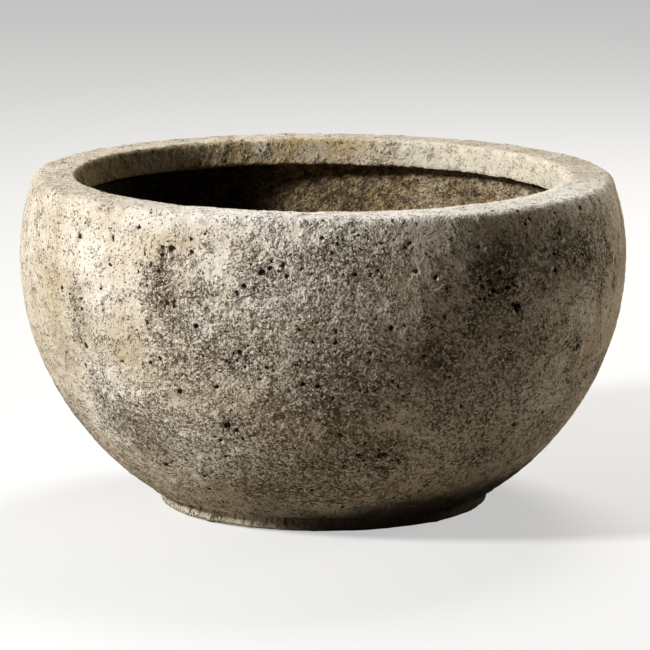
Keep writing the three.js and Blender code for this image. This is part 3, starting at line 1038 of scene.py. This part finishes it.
def lip_and_rim(g, skin, base):
    """The lip is olive and painted shade at the left, then ochre, and cream at the right. The rim's front
    has a painted highlight.
    """
    ochre = skin.on_lip * g.smooth(0.16, 0.02, skin.aside) * g.smooth(0.34, 0.54, skin.mottle)
    # a painted highlight along the top of the rim at its front and right, in the lime colour
    rim_highlight = g.smooth(RIM_HEIGHT - 9 * MILLIMETRE, RIM_HEIGHT - 2 * MILLIMETRE, skin.height)
    rim_highlight = rim_highlight * (1.0 - skin.on_lip) * g.smooth(0.05, -0.15, skin.behind)
    return coated(g, base, [
        (ochre * 0.85, LIP_OCHRE),
        # painted shade: the lip's left face is coloured dark olive
        (skin.lip_left_shade * 0.85, LIP_OLIVE_SHADE),
        (skin.lip_right * (g.smooth(0.36, 0.56, skin.mottle) * 0.4 + 0.5), LIP_CREAM),
        (rim_highlight * g.smooth(-0.22, -0.06, skin.aside) * 0.7, STAINS["lime_and_rim_highlight"][0]),
    ])


print("coats of the outside ready")

# %% The soil inside, and the grains, the dirt and the painted shade over everything
def soiled(g, skin, base):
    """The inside: soil, plaster left at the right, and painted shade at the left and low down."""
    soil = g.mix(g.smooth(0.58, 0.38, skin.plaster), SOIL, SOIL_DARK)
    plastered = g.smooth(0.05, 0.16, skin.aside) * g.smooth(0.42, 0.54, skin.mottle)
    # painted shade inside: low down, and at the left
    low = g.smooth(215 * MILLIMETRE, 175 * MILLIMETRE, skin.height + (skin.mottle - 0.5) * 0.08)
    inside_shade = low.largest(g.smooth(-0.02, -0.09, skin.aside + (skin.mottle - 0.5) * 0.05))
    return coated(g, base, [
        (skin.inside * 0.95, soil),
        (skin.inside * plastered * 0.85, PLASTER),
        (skin.inside * inside_shade, INSIDE_SHADE),
    ])


def speckled(g, skin, base):
    """Light and dark grains, painted shade along the foot, and dirt with painted shade in the gaps and the
    bottoms of the holes.
    """
    light = g.smooth(0.56, 0.82, skin.shade) * (skin.rough * 0.72 + 0.08)
    light = light * (1.0 - skin.inside * 0.85) * (1.0 - skin.lip_left_shade)
    # painted shade along the foot, reaching higher on the right
    foot_shade_level = skin.height + (skin.mottle - 0.5) * 0.05 - skin.aside.largest(0.0) * 0.12
    foot_shade = g.smooth(40 * MILLIMETRE, 12 * MILLIMETRE, foot_shade_level) * (1.0 - skin.inside)
    foot_shade = foot_shade * g.smooth(-0.12, 0.0, skin.aside + (skin.mottle - 0.5) * 0.06)
    deep = largest_of([skin.hollow, skin.eaten * 0.9])
    holes = largest_of([deep, skin.small, skin.pin * 0.85, skin.fallen * 0.85, skin.scratches])
    return coated(g, base, [
        (light, SAND_LIGHT),
        (g.smooth(0.35, 0.05, skin.shade) * (skin.rough * 0.6 + 0.1), SAND_DARK),
        (foot_shade * 0.92, FOOT_SHADE),
        # dirt and painted shade in the gaps, the holes and their bottoms
        (skin.gaps * (skin.rough * 0.25 + 0.50) * (1.0 - skin.lip_right * 0.6), GAP_DIRT_AND_SHADE),
        (holes * (0.85 - skin.lip_right * 0.5), GAP_DIRT_AND_SHADE),
        (g.smooth(0.7, 1.0, deep) * 0.85, PIT_DIRT_AND_SHADE),
    ])


print("coats of the inside and specks ready")

# %% The finished concrete
def concrete_finish(material):
    material.use_nodes = True
    g = Graph(material.node_tree)
    skin = worn_skin(g)
    bore_holes(g, skin)
    outside = lip_and_rim(g, skin, stained(g, skin))
    g.surface({"Base Color": speckled(g, skin, soiled(g, skin, outside)), "Roughness": 0.95,
               "Specular IOR Level": 0.2, "Normal": g.raised(relief(skin))})


concrete_finish(concrete)
print("concrete:", len(concrete.node_tree.nodes), "nodes")

# %% [markdown]
# ## The sleeve, the plug and the pads
# The sleeve is a moulded plastic pipe with a flange, cast into the floor. The plug is soft rubber
# with squeeze ribs, a crowned head and a tab to pull it by, and the pads are rubber discs that sit
# in pockets of the foot. All are round, so each is a profile turned on a lathe, and as moulded
# edges are never sharp, a profile's open corners are arcs. The tab is skinned round its finger
# hole, section by section, and a boolean joins it to the head.

# %% Sizes of the fittings
SLEEVE_WALL = 2.5 * MILLIMETRE
SHANK_CLEARANCE = 0.35 * MILLIMETRE
SHANK_TAPER = 1.6 * MILLIMETRE
RIB_COUNT = 3
RIB_HEIGHT = 0.5 * MILLIMETRE
HEAD_THICKNESS = 5.0 * MILLIMETRE
HEAD_CROWN = 2.0 * MILLIMETRE
TAB_HALF_WIDTH = 11.0 * MILLIMETRE
TAB_HALF_THICKNESS = 2.5 * MILLIMETRE
FINGER_HOLE = 5.0 * MILLIMETRE

sleeve_low, sleeve_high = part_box("drain_sleeve")
plug_low, plug_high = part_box("drain_plug")
pipe_radius = flange_radius - FLANGE_WIDTH
bore = pipe_radius - SLEEVE_WALL
plug_height = plug_high.z - plug_low.z
print("bore:", round(2 * bore / MILLIMETRE, 1), "mm; plug:", round(plug_height / MILLIMETRE, 1), "mm tall")


# %% The sleeve
def drain_sleeve():
    bottom, top = sleeve_low.z, sleeve_high.z
    underside = top - FLANGE_THICKNESS
    return turned("drain_sleeve_moulding", rounded([
        (bore, bottom, 0.6 * MILLIMETRE), (pipe_radius, bottom, 0.8 * MILLIMETRE),
        (pipe_radius, underside, 0.0), (flange_radius, underside, 0.4 * MILLIMETRE),
        (flange_radius, top, 0.9 * MILLIMETRE), (bore, top, 1.2 * MILLIMETRE)]), LATHE_STEPS)


# %% The plug: a ribbed shank and a crowned head, and the tab round its finger hole
def plug_stopper(head_top):
    under_head = head_top - HEAD_THICKNESS
    shank = under_head - plug_low.z
    pitch = shank / (RIB_COUNT + 1)
    top_radius = bore - SHANK_CLEARANCE - RIB_HEIGHT
    corners = [(0.0, plug_low.z, 0.0),
               (top_radius - SHANK_TAPER - RIB_HEIGHT, plug_low.z, 1.0 * MILLIMETRE)]
    for rib in range(RIB_COUNT, 0, -1):
        for step, rise in ((1, 0.0), (0, 1.0), (-1, 0.0)):
            depth = (rib + step / 5) * pitch
            radius = top_radius - SHANK_TAPER * depth / shank + rise * RIB_HEIGHT
            corners.append((radius, under_head - depth, 0.5 * MILLIMETRE))
    head_edge = head_top - HEAD_CROWN
    corners += [(top_radius, under_head, 0.0), (plug_high.x, under_head, 0.5 * MILLIMETRE),
                (plug_high.x, head_edge, 1.7 * MILLIMETRE),
                (plug_high.x / 2, head_top - HEAD_CROWN / 4, 4.0 * MILLIMETRE), (0.0, head_top, 0.0)]
    return turned("drain_plug_moulding", rounded(corners), LATHE_STEPS)


def pull_tab(head_top):
    """Rounded sections round the finger hole: as far out as the tab's edge lies that way."""
    middle = plug_high.z - TAB_HALF_WIDTH
    root = middle - head_top + HEAD_CROWN
    edge, thin = 1.0 * MILLIMETRE, TAB_HALF_THICKNESS
    rings = []
    for turn in np.linspace(0.0, 2 * math.pi, LATHE_STEPS, endpoint=False):
        across, up = math.cos(turn), math.sin(turn)
        reach = TAB_HALF_WIDTH
        if up < 0:
            reach = min(TAB_HALF_WIDTH / max(abs(across), 0.001), root / -up)
        outline = rounded([(FINGER_HOLE, -thin, edge), (reach, -thin, edge), (reach, thin, edge),
                           (FINGER_HOLE, thin, edge)])
        rings.append([(across * out, aside, middle + up * out) for out, aside in outline])
    return skinned("pull_tab", rings)


def drain_plug():
    head_top = sleeve_high.z + SEAT_GAP + HEAD_THICKNESS
    stopper, tab = plug_stopper(head_top), pull_tab(head_top)
    cut_or_join(stopper, tab, "UNION")
    plug = finished(stopper, "drain_plug_moulding")
    bpy.data.objects.remove(tab)
    return plug


# %% The moulded finish: dark plastic or rubber with dust in its pores
def moulded_finish(name, body, dust, shine):
    material = bpy.data.materials.new(name)
    material.use_nodes = True
    g = Graph(material.node_tree)
    cloud = g.noise(g.on_object(), 14 * MILLIMETRE, detail=4.0, roughness=0.6)
    grain = g.noise(g.on_object(), 1.2 * MILLIMETRE, detail=3.0, roughness=0.6)
    dusty = g.smooth(0.44, 0.66, cloud * 0.6 + grain * 0.4)
    # the low grain is darkened with dirt and painted shade
    base = coated(g, body, [(dusty * 0.45, dust), (g.smooth(0.6, 0.35, grain) * 0.4, PIT_DIRT_AND_SHADE)])
    g.surface({"Base Color": base, "Roughness": dusty * 0.3 + (1.0 - shine),
               "Specular IOR Level": 0.4, "Normal": g.raised(grain * (0.25 * MILLIMETRE))})
    return material


print("moulded finish ready")

# %% Dress the sleeve, the plug and the pads
def dress(piece, finish, node, body):
    """Gives a piece its finish, and lets it stand for its CAD node on that node's body."""
    piece.data.materials.clear()
    piece.data.materials.append(finish)
    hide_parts(node)
    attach(piece, body)


plastic = moulded_finish("grey_plastic", colour(98, 99, 96), colour(176, 168, 150), 0.45)
rubber = moulded_finish("black_rubber", colour(44, 43, 42), colour(128, 120, 106), 0.35)
dress(drain_sleeve(), plastic, "drain_sleeve", "planter")
dress(drain_plug(), rubber, "drain_plug", "plug")
for node in pad_nodes:
    dress(foot_pad(node, node + "_disc", 0.0, 0.0), rubber, node, "planter")
print("fittings dressed:", 2 + len(pad_nodes))

# %% [markdown]
# ## A plain studio
# The photograph has one soft lamp, high at the left, and little else: the right side falls to a
# deep, warm shadow, and a faint light from behind draws the right edge. The floor is pale in the
# picture but throws little light up at the bowl, so there are two: a pale sweep that only the
# camera sees, and just under it a grey card that only the bowl sees.

# %% The pale sweep and the grey card
def plain_finish(name, albedo, glow):
    """A matte finish with a little light of its own."""
    material = bpy.data.materials.new(name)
    material.use_nodes = True
    Graph(material.node_tree).surface({
        "Base Color": (*albedo, 1.0), "Roughness": 1.0, "Specular IOR Level": 0.0,
        "Emission Color": (1.0, 1.0, 1.0, 1.0), "Emission Strength": glow})
    return material


SWEEP_RADIUS = 7.0
SWEEP_BEND = 1.6
SWEEP_HEIGHT = 14.0
sweep_profile = [(0.0, 0.0), *arc((SWEEP_RADIUS, SWEEP_BEND), SWEEP_BEND, -math.pi / 2, 0.0, 0.2),
                 (SWEEP_RADIUS + SWEEP_BEND, SWEEP_HEIGHT), (0.0, SWEEP_HEIGHT)]
pale_sweep = turned("pale_sweep", sweep_profile, LATHE_STEPS)
pale_sweep.data.materials.append(plain_finish("pale_paper", (0.42, 0.42, 0.41), 0.50))
pale_sweep.visible_diffuse = False
pale_sweep.visible_glossy = False
pale_sweep.visible_shadow = False

CARD_RADIUS = 3.0
CARD_TOP = -1 * MILLIMETRE
CARD_BOTTOM = -6 * MILLIMETRE
grey_card = turned("grey_card", [(0.0, CARD_BOTTOM), (CARD_RADIUS, CARD_BOTTOM),
                                 (CARD_RADIUS, CARD_TOP), (0.0, CARD_TOP)], LATHE_STEPS // 2)
grey_card.data.materials.append(plain_finish("grey_paper", (0.46, 0.41, 0.33), 0.0))
grey_card.visible_camera = False
print("sweep and card ready")

# %% Soft lights
AIM = Vector((0.0, 0.0, 170 * MILLIMETRE))


def softbox(name, direction, rise, distance, size, watts, tint):
    """A round soft light. Its direction is in degrees round the bowl, as in the marks' lists."""
    data = bpy.data.lights.new(name, "AREA")
    data.shape = "DISK"
    data.size = size
    data.energy = watts
    data.color = tint
    lamp = new_object(name, data)
    turn, up = math.radians(direction), math.radians(rise)
    towards = Vector((math.sin(turn) * math.cos(up), -math.cos(turn) * math.cos(up), math.sin(up)))
    lamp.location = AIM + distance * towards
    lamp.rotation_euler = (-towards).to_track_quat("-Z", "Y").to_euler()


softbox("key_light", -61.0, 31.0, 2.7, 0.45, 88.0, (1.0, 0.995, 0.985))
softbox("edge_light", 118.0, 12.0, 3.0, 0.6, 26.0, (1.0, 0.90, 0.75))
softbox("back_light", 162.0, 48.0, 3.0, 1.4, 63.0, (1.0, 0.98, 0.95))

world = bpy.data.worlds.new("studio_air")
world.use_nodes = True
air = world.node_tree.nodes["Background"].inputs
air["Color"].default_value = (1.0, 0.83, 0.62, 1.0)
air["Strength"].default_value = 0.015
bpy.context.scene.world = world
bpy.context.scene.view_settings.view_transform = "Standard"
print("three lights and a dim, warm room")
